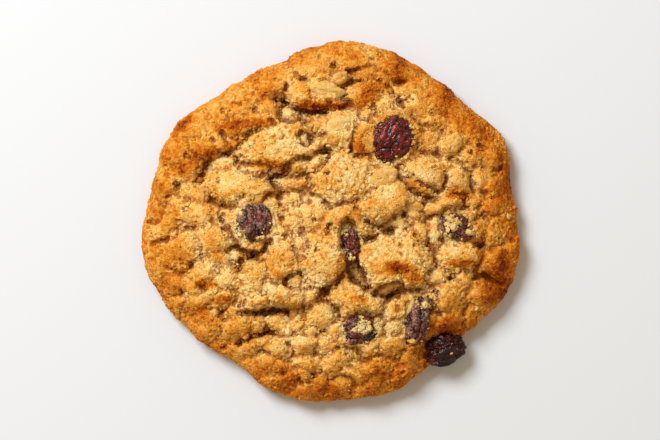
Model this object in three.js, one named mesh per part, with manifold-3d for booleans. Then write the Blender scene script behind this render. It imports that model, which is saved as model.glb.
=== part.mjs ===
// An oatmeal raisin cookie, lying flat on its baked underside. Millimetres, +Z up.
// The origin is the middle of the underside's bounding rectangle, and +Y is the cookie's far edge.
// The dough is one solid: a low dome whose top has burst into clods with cracks between them.
// Each raisin that shows is a solid of its own, seated in a pocket of the dough.

import * as THREE from "three";
import { ImprovedNoise } from "three/addons/math/ImprovedNoise.js";
import { mergeVertices } from "three/addons/utils/BufferGeometryUtils.js";
import Module from "manifold-3d";

// ---- Driving dimensions, mm and degrees -----------------------------------------------------

const RIM_RADIUS = 40.3; // plain radius of the outline, before its bulges and dents
const OUTLINE_RIPPLE = 0.5; // small unevenness of the outline
const WIDEST_AT = 3.4; // height of the widest part of the edge above the underside
const SHOULDER = 9.4; // height where the edge has rolled over into the top
const CROWN = 3.2; // how much higher the middle is than the shoulder
const ROLL = 5; // power of the edge's roll: higher is squarer

const RINGS = 25; // rings of the top's lattice, the nth with 6 n corners
const TOP_SHARE = 0.965; // the lattice ends at this share of the outline's radius
const SNAP = 0.45; // a corner within this many spacings of a crack moves onto it

const RIM_FROM = 0.72; // share of the radius where the crust starts to smooth into the rim
const RIM_BY = 0.92; // and where it has done so
const CRACK_WIDTH = 2.2; // from a crack's bottom to the full height of the clod beside it
const CRACK_DEPTH = 2.8; // of a crack in the middle of the cookie
const RIM_CRACK_DEPTH = 1.4; // of a crack in the rim
const RIM_LIFT_SHARE = 0.75; // how much of its lift a clod keeps in the rim
const GAP_DEPTH = 1.6; // how far the ground beyond every clod's ellipse lies below it
const GAP_REACH = 1.5; // the multiple of a clod's size where the ground is that low
const RAGGED = 1.3; // how far a clod's outline strays from its ellipse
const RAGGED_SPAN = 6.5; // size of those strays
const LUMP_HEIGHT = 0.5; // of the low swellings all over the crust
const LUMP_SPAN = 7;
const EDGE_LUMP = 0.5; // swellings and dents of the edge below the crust
const EDGE_LUMP_SPAN = 3;
const EDGE_FOLLOW = 0.35; // how much of the crust's relief carries over the edge

const SEAT_REACH = 1.5; // the crust lies level round a raisin, out to this multiple of its size
const POCKET_GAP = 0.3; // clear space between a raisin and the dough round it
const RAISIN_DETAIL = 3; // each face of an icosahedron is cut into (detail + 1)^2
const PLEATS = 5; // of a raisin's skin, running from end to end
const PLEAT_DEPTH = 0.07; // as a share of the raisin's radius
const DENT_DEPTH = 0.09;
const DENTS_ACROSS = 1.9; // how many dents a raisin has along one radius

const DOUGH_COLOUR = 0xdda557;
const RAISIN_COLOUR = 0x3b1a17;

// The outline's bulges and dents: the middle of each, half its spread, and how far it stands out.
const OUTLINE = [
  { at: 25, spread: 9, out: 2.4 },
  { at: 80, spread: 14, out: 0.4 },
  { at: 115, spread: 17, out: -3.6 },
  { at: 154, spread: 13, out: 0.7 },
  { at: 191, spread: 17, out: 1.9 },
  { at: 237, spread: 10, out: -2.2 },
  { at: 276, spread: 8, out: -0.5 },
  { at: 313, spread: 8, out: -2.3 },
  { at: 347, spread: 17, out: 2.2 },
];

// The edge below the lattice, row by row: how far in from the outline, and how high.
const EDGE_ROWS = [
  { inset: 0.4, height: 4.9 },
  { inset: 0, height: WIDEST_AT },
  { inset: 0.5, height: 1.3 },
  { inset: 1.8, height: 0 },
];

// The large clods, each an ellipse: middle x and y, half length, half width, turn, and its lift
// above the dome. A negative lift is a hollow.
const CLODS = [
  // far left, where the rim is broad and smooth
  [-31, 17, 9, 6.6, 50, 1.3],
  [-19.5, 24, 9, 5.2, 36, 1.3],
  [-12.5, 16.3, 9.8, 5, 16, 2.0],
  [-4.5, 20, 4, 2.6, -20, 1.6],
  [-21, 7.2, 7.6, 4.2, 8, 1.5],
  [-31, 5.2, 4.2, 3.4, 0, 1.0],
  [-8.5, 24, 5, 1.7, 0, -1.6],
  [-28.2, 11, 1.8, 1.8, 0, -1.8],
  // the middle
  [1.8, 6.8, 6.8, 4.8, 35, 2.2],
  [-1.2, 0.4, 5, 3, -12, 1.6],
  [12, 3.8, 6.8, 4.2, 8, 2.6],
  [5.5, 12.4, 4.6, 2.6, 20, 1.4],
  [2.6, 20.4, 4, 3.8, 0, 1.8],
  [8, 17.6, 4, 3.2, -60, 1.4],
  [-9.5, 8, 4.6, 2.2, 0, -0.6],
  [-17.5, -1.8, 7.4, 5.6, -75, 1.8],
  [-1.2, -9.2, 6.4, 4.8, -65, 2.0],
  [5.2, -7.4, 6.2, 1.9, 78, -2.4],
  [13.2, -2.6, 1.6, 1, 25, -2.6],
  // far right
  [21.5, 9.4, 5.6, 3.9, -10, 1.8],
  [29.6, 8.4, 4.4, 3.4, 25, 1.2],
  [28.4, 17.8, 4.4, 3, 25, 1.1],
  [15.6, 29.4, 1.6, 2.2, 20, -1.6],
  [24.5, 3.2, 5.4, 2.2, 5, 1.6],
  [28.5, -8.2, 4.8, 3.7, -10, 1.3],
  // near right
  [15.6, -7.2, 8.2, 5.2, -15, 2.2],
  [26.6, -18.4, 6, 3.6, 82, 1.4],
  [7.2, -18.4, 8.6, 4.2, -5, 1.9],
  [6.5, -25.8, 6, 3.2, 5, 1.0],
  [13, -29, 5, 3, 15, 1.1],
  // near left
  [-12, -9.4, 5.8, 4.2, 65, 1.9],
  [-17.2, -14, 4.6, 4.2, 0, 1.7],
  [-9.8, -16.2, 6.4, 3.3, -8, 1.7],
  [-26.6, -5.2, 5.8, 4.6, -50, 1.4],
  [-35, -8, 5, 4.4, 20, 1.0],
  [-23.6, -17, 5.2, 3.4, -10, 1.4],
  [-20, -23, 5.8, 2.8, 15, 1.5],
  [-4.5, -21.6, 4.6, 2.4, 5, -1.2],
  [-19.4, -26.8, 2.2, 1, 25, -2.4],
  [-13.5, -28.6, 4.8, 2.4, 20, 1.2],
  [-5.5, -27.4, 4.6, 2.8, 0, 1.3],
].map(([x, y, long, wide, turn, lift]) => ({ x, y, long, wide, turn, lift }));

// The crust's rim breaks into slabs, and small clods fill the ground between the large ones.
const RIM_SLABS = { count: 21, at: 0.88, long: 5.8, wide: 4.2, lift: 1.1 };
const FILLERS = { spacing: 6.2, size: 3.3, lift: 1.1 };

// The raisins: middle x and y, length, width, thickness, turn of the length from +X, the lift of
// the crust round the raisin above the dome, and how far the raisin's middle is above that crust.
const RAISINS = [
  { name: "raisin_far", x: 14.9, y: 18, size: [12, 8.4, 6.6], turn: 58, lift: 0.6, rise: 0.3 },
  { name: "raisin_left", x: -16.6, y: -0.9, size: [10.4, 7.2, 5.2], turn: 72, lift: 0.8, rise: -0.5 },
  { name: "raisin_middle", x: 4.9, y: -5.6, size: [8.6, 4.4, 4.6], turn: 98, lift: -1.4, rise: -0.3 },
  { name: "raisin_right", x: 28.3, y: -2.2, size: [7.8, 5.6, 4.4], turn: -28, lift: 0.3, rise: -0.6 },
  { name: "raisin_near", x: 19, y: -23.6, size: [12.2, 5.8, 5], turn: 73, lift: 0.5, rise: -0.5 },
  { name: "raisin_sunken", x: 7.4, y: -24.6, size: [9.4, 6.6, 4.6], turn: 16, lift: 0.2, rise: -0.8 },
  { name: "raisin_edge", x: 25.8, y: -29, size: [10.6, 7.6, 6.8], turn: 24, lift: 0, rise: 1.4 },
];

// ---- Helpers --------------------------------------------------------------------------------

const noise = new ImprovedNoise();
const radians = THREE.MathUtils.degToRad;
const { lerp, smoothstep } = THREE.MathUtils;

// A repeatable number from 0 to 1 for the nth of something.
function scatter(n, salt) {
  const value = Math.sin(n * 127.1 + salt * 311.7) * 43758.5453;
  return value - Math.floor(value);
}

// The outline's radius in a direction given in radians.
function outlineRadius(angle) {
  let radius = RIM_RADIUS;
  for (const { at, spread, out } of OUTLINE) {
    const away = Math.atan2(Math.sin(angle - radians(at)), Math.cos(angle - radians(at)));
    radius += out * Math.exp(-((away / radians(spread)) ** 2));
  }
  return radius + OUTLINE_RIPPLE * noise.noise(9 * Math.cos(angle), 9 * Math.sin(angle), 0);
}

// How far out a point lies, as a share of the outline's radius in its direction.
function shareOut(x, y) {
  return Math.hypot(x, y) / outlineRadius(Math.atan2(y, x));
}

// Height of the plain dome, before it bursts, at a share of the radius.
function domeHeight(share) {
  const roll = Math.sqrt(Math.max(0, 1 - share ** ROLL));
  return WIDEST_AT + (SHOULDER - WIDEST_AT) * roll + CROWN * (1 - share * share);
}

// ---- The clods ------------------------------------------------------------------------------

// Distance of a point from a clod's middle: 1 on the clod's ellipse.
function distanceTo(clod, x, y) {
  const c = Math.cos(radians(clod.turn));
  const s = Math.sin(radians(clod.turn));
  const along = (x - clod.x) * c + (y - clod.y) * s;
  const across = (y - clod.y) * c - (x - clod.x) * s;
  return Math.hypot(along / clod.long, across / clod.wide);
}

function rimSlabs() {
  const { count, at, long, wide, lift } = RIM_SLABS;
  return Array.from({ length: count }, (_, n) => {
    const turn = (n + 0.5 * scatter(n, 1)) * (360 / count);
    const radius = at * outlineRadius(radians(turn));
    return {
      x: radius * Math.cos(radians(turn)),
      y: radius * Math.sin(radians(turn)),
      long: long * lerp(0.9, 1.15, scatter(n, 2)),
      wide: wide * lerp(0.85, 1.15, scatter(n, 3)),
      turn: turn + 90,
      lift: lift * lerp(0.6, 1.2, scatter(n, 4)),
    };
  });
}

// Small clods on a sunflower's spiral, left out wherever a larger clod already lies.
function fillers(larger) {
  const { spacing, size, lift } = FILLERS;
  const goldenTurn = Math.PI * (3 - Math.sqrt(5));
  const small = [];
  for (let n = 0; n * spacing ** 2 < 3 * RIM_RADIUS ** 2; n++) {
    const radius = spacing * Math.sqrt(n / Math.PI);
    const x = radius * Math.cos(n * goldenTurn);
    const y = radius * Math.sin(n * goldenTurn);
    if (shareOut(x, y) > 0.97 || larger.some((clod) => distanceTo(clod, x, y) < 1.12)) continue;
    small.push({
      x,
      y,
      long: size * lerp(0.9, 1.5, scatter(n, 5)),
      wide: size * lerp(0.7, 1, scatter(n, 6)),
      turn: 180 * scatter(n, 7),
      lift: lift * lerp(-0.3, 1, scatter(n, 8)),
    });
  }
  return small;
}

const largeClods = [...CLODS, ...rimSlabs()];
const clods = [...largeClods, ...fillers(largeClods)];

// The clod a point belongs to, its distance from that clod's middle, and in millimetres how far
// the point lies inside the clod's border with its neighbour.
function clodAt(x, y) {
  const wx = x + RAGGED * noise.noise(x / RAGGED_SPAN, y / RAGGED_SPAN, 3.7);
  const wy = y + RAGGED * noise.noise(x / RAGGED_SPAN, y / RAGGED_SPAN, 9.2);
  let nearest = null;
  let first = Infinity;
  let second = Infinity;
  for (const clod of clods) {
    const d = distanceTo(clod, wx, wy);
    if (d < first) {
      second = first;
      first = d;
      nearest = clod;
    } else if (d < second) {
      second = d;
    }
  }
  return { clod: nearest, out: first, inside: ((second - first) * nearest.wide) / 2 };
}

// How far the burst crust stands above the plain dome, away from the raisins.
function burst(x, y) {
  const { clod, out, inside } = clodAt(x, y);
  const rimward = smoothstep(shareOut(x, y), RIM_FROM, RIM_BY);
  const depth = lerp(CRACK_DEPTH, RIM_CRACK_DEPTH, rimward);
  const crack = depth * (1 - smoothstep(inside, 0, CRACK_WIDTH));
  const gap = GAP_DEPTH * smoothstep(out, 1, GAP_REACH) * (1 - rimward);
  const lump = LUMP_HEIGHT * noise.noise(x / LUMP_SPAN, y / LUMP_SPAN, 0.5);
  return clod.lift * lerp(1, RIM_LIFT_SHARE, rimward) - crack - gap + lump;
}

// The same with the raisins' seats in it.
function relief(x, y) {
  let height = burst(x, y);
  for (const { x: middleX, y: middleY, size, turn, lift } of RAISINS) {
    const seat = { x: middleX, y: middleY, long: size[0] / 2, wide: size[1] / 2, turn };
    height = lerp(lift, height, smoothstep(distanceTo(seat, x, y), 1, SEAT_REACH));
  }
  return height;
}

function crustHeight(x, y) {
  return domeHeight(shareOut(x, y)) + relief(x, y);
}

// Moves a lattice corner that lies close to a crack onto the crack's line, so that the facets
// fold along it: a few steps downhill, each a little short of the line.
function drawnToCrack(x, y, reach) {
  const step = 0.05;
  const stride = 0.7;
  for (let turn = 0; turn < 4; turn++) {
    const here = clodAt(x, y).inside;
    if (here > reach) return [x, y];
    const slopeX = (clodAt(x + step, y).inside - here) / step;
    const slopeY = (clodAt(x, y + step).inside - here) / step;
    const steepness = slopeX ** 2 + slopeY ** 2;
    if (steepness < 0.01) return [x, y];
    x -= (stride * here * slopeX) / steepness;
    y -= (stride * here * slopeY) / steepness;
  }
  return [x, y];
}

// ---- The dough ------------------------------------------------------------------------------

// A closed mesh: a lattice of rings over the top, rows down the edge, and a flat underside.
function doughGeometry() {
  const corners = [];
  const faces = [];
  const spacing = RIM_RADIUS / RINGS;
  const add = (x, y, z) => corners.push(x, y, z) / 3 - 1;

  const rings = [[add(0, 0, crustHeight(0, 0))]];
  for (let ring = 1; ring <= RINGS; ring++) {
    const row = [];
    for (let n = 0; n < 6 * ring; n++) {
      const angle = (n / (6 * ring)) * 2 * Math.PI;
      const share = (ring / RINGS) * TOP_SHARE;
      const radius = share * outlineRadius(angle);
      let x = radius * Math.cos(angle);
      let y = radius * Math.sin(angle);
      if (ring < RINGS - 1) [x, y] = drawnToCrack(x, y, SNAP * spacing);
      row.push(add(x, y, crustHeight(x, y)));
    }
    rings.push(row);
  }

  // The hexagonal lattice: each of six sectors gains one corner from ring to ring.
  for (let ring = 1; ring <= RINGS; ring++) {
    const inner = rings[ring - 1];
    const outer = rings[ring];
    for (let sector = 0; sector < 6; sector++) {
      for (let n = 0; n < ring; n++) {
        const o = sector * ring + n;
        const i = sector * (ring - 1) + n;
        const inside = inner[i % inner.length];
        faces.push(inside, outer[o], outer[(o + 1) % outer.length]);
        if (n < ring - 1) {
          faces.push(inside, outer[(o + 1) % outer.length], inner[(i + 1) % inner.length]);
        }
      }
    }
  }

  // The edge: from the lattice's last ring, round the widest part and in to the underside.
  const around = 6 * RINGS;
  let above = rings[RINGS];
  for (const { inset, height } of EDGE_ROWS) {
    const below = above.map((_, n) => {
      const angle = (n / around) * 2 * Math.PI;
      const [c, s] = [Math.cos(angle), Math.sin(angle)];
      const full = outlineRadius(angle);
      const lump = noise.noise((full * c) / EDGE_LUMP_SPAN, (full * s) / EDGE_LUMP_SPAN, height);
      const radius = full - inset + EDGE_LUMP * lump * Math.min(1, height);
      const lift = EDGE_FOLLOW * relief(TOP_SHARE * full * c, TOP_SHARE * full * s);
      return add(radius * c, radius * s, height + (lift * height) / SHOULDER);
    });
    for (let n = 0; n < around; n++) {
      const next = (n + 1) % around;
      faces.push(above[n], below[n], below[next], above[n], below[next], above[next]);
    }
    above = below;
  }

  const middle = add(0, 0, 0);
  for (let n = 0; n < around; n++) faces.push(middle, above[(n + 1) % around], above[n]);

  const geometry = new THREE.BufferGeometry();
  geometry.setAttribute("position", new THREE.Float32BufferAttribute(corners, 3));
  geometry.setIndex(faces);
  return geometry;
}

// ---- The raisins ----------------------------------------------------------------------------

// A dried grape: an ellipsoid pleated along its length, dented and flattened, with its length
// along X. It grows by the margin on every side.
function raisinGeometry({ size, turn }, margin) {
  const geometry = new THREE.IcosahedronGeometry(1, RAISIN_DETAIL);
  const places = geometry.getAttribute("position");
  const point = new THREE.Vector3();
  for (let n = 0; n < places.count; n++) {
    point.fromBufferAttribute(places, n);
    const around = Math.atan2(point.z, point.y);
    const waist = 1 - point.x * point.x; // the pleats close up at the two ends
    const sway = Math.PI * noise.noise(2 * point.x, turn, 0); // so that the pleats run unevenly
    const pleat = PLEAT_DEPTH * waist * Math.cos(PLEATS * around + sway);
    const [u, v, w] = point.toArray().map((value) => DENTS_ACROSS * value);
    const dent = DENT_DEPTH * noise.noise(u + turn, v, w);
    point.multiplyScalar(1 + pleat + dent);
    const [x, y, z] = size.map((full) => full / 2 + margin);
    places.setXYZ(n, point.x * x, point.y * y, point.z * z);
  }
  geometry.deleteAttribute("normal");
  geometry.deleteAttribute("uv");
  return mergeVertices(geometry, 1e-4);
}

function placed(geometry, { x, y, turn, rise }) {
  return geometry.rotateZ(radians(turn)).translate(x, y, crustHeight(x, y) + rise);
}

// ---- Cutting the pockets --------------------------------------------------------------------

const wasm = await Module();
wasm.setup();

function solidFrom(geometry) {
  return new wasm.Manifold(
    new wasm.Mesh({
      numProp: 3,
      vertProperties: new Float32Array(geometry.getAttribute("position").array),
      triVerts: new Uint32Array(geometry.index.array),
    }),
  );
}

function geometryFrom(solid) {
  const { vertProperties, triVerts } = solid.getMesh();
  const geometry = new THREE.BufferGeometry();
  geometry.setAttribute("position", new THREE.BufferAttribute(vertProperties, 3));
  geometry.setIndex(new THREE.BufferAttribute(triVerts, 1));
  return geometry;
}

function doughWithPockets() {
  let dough = solidFrom(doughGeometry());
  for (const raisin of RAISINS) {
    dough = dough.subtract(solidFrom(placed(raisinGeometry(raisin, POCKET_GAP), raisin)));
  }
  return geometryFrom(dough);
}

// ---- The cookie -----------------------------------------------------------------------------

const doughMaterial = new THREE.MeshStandardMaterial({
  color: DOUGH_COLOUR,
  roughness: 0.85,
  metalness: 0,
  flatShading: true,
});
const raisinMaterial = new THREE.MeshStandardMaterial({
  color: RAISIN_COLOUR,
  roughness: 0.4,
  metalness: 0,
  flatShading: true,
});

const cookie = new THREE.Group();

const dough = new THREE.Mesh(doughWithPockets(), doughMaterial);
dough.name = "dough";
cookie.add(dough);

for (const raisin of RAISINS) {
  const mesh = new THREE.Mesh(placed(raisinGeometry(raisin, 0), raisin), raisinMaterial);
  mesh.name = raisin.name;
  cookie.add(mesh);
}

// The origin goes to the middle of the bounding rectangle.
const middle = new THREE.Box3().setFromObject(cookie).getCenter(new THREE.Vector3());
cookie.children.forEach((mesh) => mesh.geometry.translate(-middle.x, -middle.y, 0));

export default cookie;
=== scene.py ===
# %% [markdown]
# # An oatmeal raisin cookie
#
# This is a drop-baked cookie: a ball of stiff oat dough that slumped in the oven to a low dome,
# set at the rim, and then burst on top into clods as the steam came out.
# The lesson builds it from the outside in. First comes the dough, which is shaped from one
# cylinder. Then come the raisins, the oat flakes and the crumbs, and last the light.
# Lengths in the tables are millimetres, and MM turns them into Blender's metres.

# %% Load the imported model
import math

import bpy
import numpy as np
from mathutils import Matrix, Vector, noise


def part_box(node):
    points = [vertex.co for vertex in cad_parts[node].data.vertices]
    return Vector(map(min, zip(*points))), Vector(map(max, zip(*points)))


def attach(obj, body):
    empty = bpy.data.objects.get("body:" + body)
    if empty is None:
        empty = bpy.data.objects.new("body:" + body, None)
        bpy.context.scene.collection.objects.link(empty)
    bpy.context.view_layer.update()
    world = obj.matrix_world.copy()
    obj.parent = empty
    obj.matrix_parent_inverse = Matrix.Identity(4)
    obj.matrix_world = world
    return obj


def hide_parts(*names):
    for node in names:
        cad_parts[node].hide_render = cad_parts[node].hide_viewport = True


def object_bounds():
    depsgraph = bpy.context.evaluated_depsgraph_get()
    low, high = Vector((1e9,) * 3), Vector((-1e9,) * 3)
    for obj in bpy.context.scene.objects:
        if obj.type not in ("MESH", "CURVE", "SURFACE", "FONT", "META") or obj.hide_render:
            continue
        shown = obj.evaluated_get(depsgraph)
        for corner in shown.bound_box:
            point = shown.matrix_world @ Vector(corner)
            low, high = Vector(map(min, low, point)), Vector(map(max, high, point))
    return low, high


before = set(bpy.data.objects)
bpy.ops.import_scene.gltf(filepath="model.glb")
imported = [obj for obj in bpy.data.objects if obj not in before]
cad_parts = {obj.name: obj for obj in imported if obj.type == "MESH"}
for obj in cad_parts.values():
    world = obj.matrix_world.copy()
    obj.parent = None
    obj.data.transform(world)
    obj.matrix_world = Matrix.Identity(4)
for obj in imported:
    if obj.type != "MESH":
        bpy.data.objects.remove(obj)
cad_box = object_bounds()
MM = 0.001
cad_size = [round(side / MM, 1) for side in cad_box[1] - cad_box[0]]
print("CAD nodes", sorted(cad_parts), "size in mm", cad_size)


# %% Small helpers
def deselect_all():
    if bpy.context.object and bpy.context.object.mode != "OBJECT":
        bpy.ops.object.mode_set(mode="OBJECT")
    bpy.ops.object.select_all(action="DESELECT")


def make_active(piece):
    deselect_all()
    piece.select_set(True)
    bpy.context.view_layer.objects.active = piece


def new_piece(name):
    """Names the object that an operator has just added."""
    piece = bpy.context.object
    piece.name = name
    piece.data.name = name
    return piece


def read_places(piece):
    places = np.empty(len(piece.data.vertices) * 3)
    piece.data.vertices.foreach_get("co", places)
    return places.reshape(-1, 3) / MM


def write_places(piece, places):
    piece.data.vertices.foreach_set("co", (places * MM).ravel())
    piece.data.update()


def read_normals(piece):
    normals = np.empty(len(piece.data.vertices) * 3)
    piece.data.vertices.foreach_get("normal", normals)
    return normals.reshape(-1, 3)


def apply_modifier(piece, kind, **settings):
    """Adds a modifier, sets it and applies it."""
    make_active(piece)
    modifier = piece.modifiers.new(kind.title(), kind)
    for key, value in settings.items():
        setattr(modifier, key, value)
    bpy.ops.object.modifier_apply(modifier=modifier.name)


def even_faces(piece, size):
    """Voxel remesh: the same shape again, with square faces of one size."""
    apply_modifier(piece, "REMESH", mode="VOXEL", voxel_size=size * MM, use_smooth_shade=True)


def smoothstep(value, low, high):
    t = np.clip((value - low) / (high - low), 0, 1)
    return t * t * (3 - 2 * t)


def noise_at(x, y, span, seed, z=0.0):
    """Perlin noise, about -1 to 1, whose swellings are span millimetres apart."""
    z = np.broadcast_to(z, np.shape(x))
    return np.array([noise.noise((a, b, c)) for a, b, c in zip(x / span, y / span, z / span + seed)])


def scatter_numbers(seed):
    return np.random.default_rng(seed)


# %% [markdown]
# ## The outline
#
# A cookie's outline is never a circle. It isn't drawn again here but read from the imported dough:
# the farthest vertex in each direction gives the outline's radius, so the finish keeps to the
# size of the construction. A few swells are added where baking pushed the edge out or held it
# back.

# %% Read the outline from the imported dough
cad_dough = read_places(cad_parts["dough"])
DIRECTIONS = 120
cad_angles = np.arctan2(cad_dough[:, 1], cad_dough[:, 0])
cad_radii = np.hypot(cad_dough[:, 0], cad_dough[:, 1])
bins = np.round(cad_angles / (2 * np.pi) * DIRECTIONS).astype(int) % DIRECTIONS
outline = np.zeros(DIRECTIONS)
np.maximum.at(outline, bins, cad_radii)
steps = np.arange(DIRECTIONS)
MEAN_RADIUS = outline.mean()
spread = (outline.min(), MEAN_RADIUS, outline.max())
print("outline radius in mm: least %.1f, mean %.1f, most %.1f" % spread)

EDGE_SWELLS = [  # direction in degrees, half its width in degrees, and mm outwards
    (14, 34, 0.9),
    (58, 12, -0.4),
    (115, 9, 1.0),
    (134, 14, -1.3),
    (196, 26, 0.9),
    (270, 44, 0.8),
    (289, 8, 0.7),
    (343, 22, 1.1),
]


def outline_radius(x, y):
    """The outline's radius at a place's direction, with the swells that baking gave the edge."""
    angle = np.arctan2(y, x)
    turn = angle / (2 * np.pi) * DIRECTIONS
    radius = np.interp(turn % DIRECTIONS, np.append(steps, DIRECTIONS), np.append(outline, outline[0]))
    for direction, spread, swell in EDGE_SWELLS:
        off = np.degrees(np.abs(np.angle(np.exp(1j * (angle - math.radians(direction))))))
        radius = radius + swell * smoothstep(off, spread, 0)
    return radius
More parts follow.
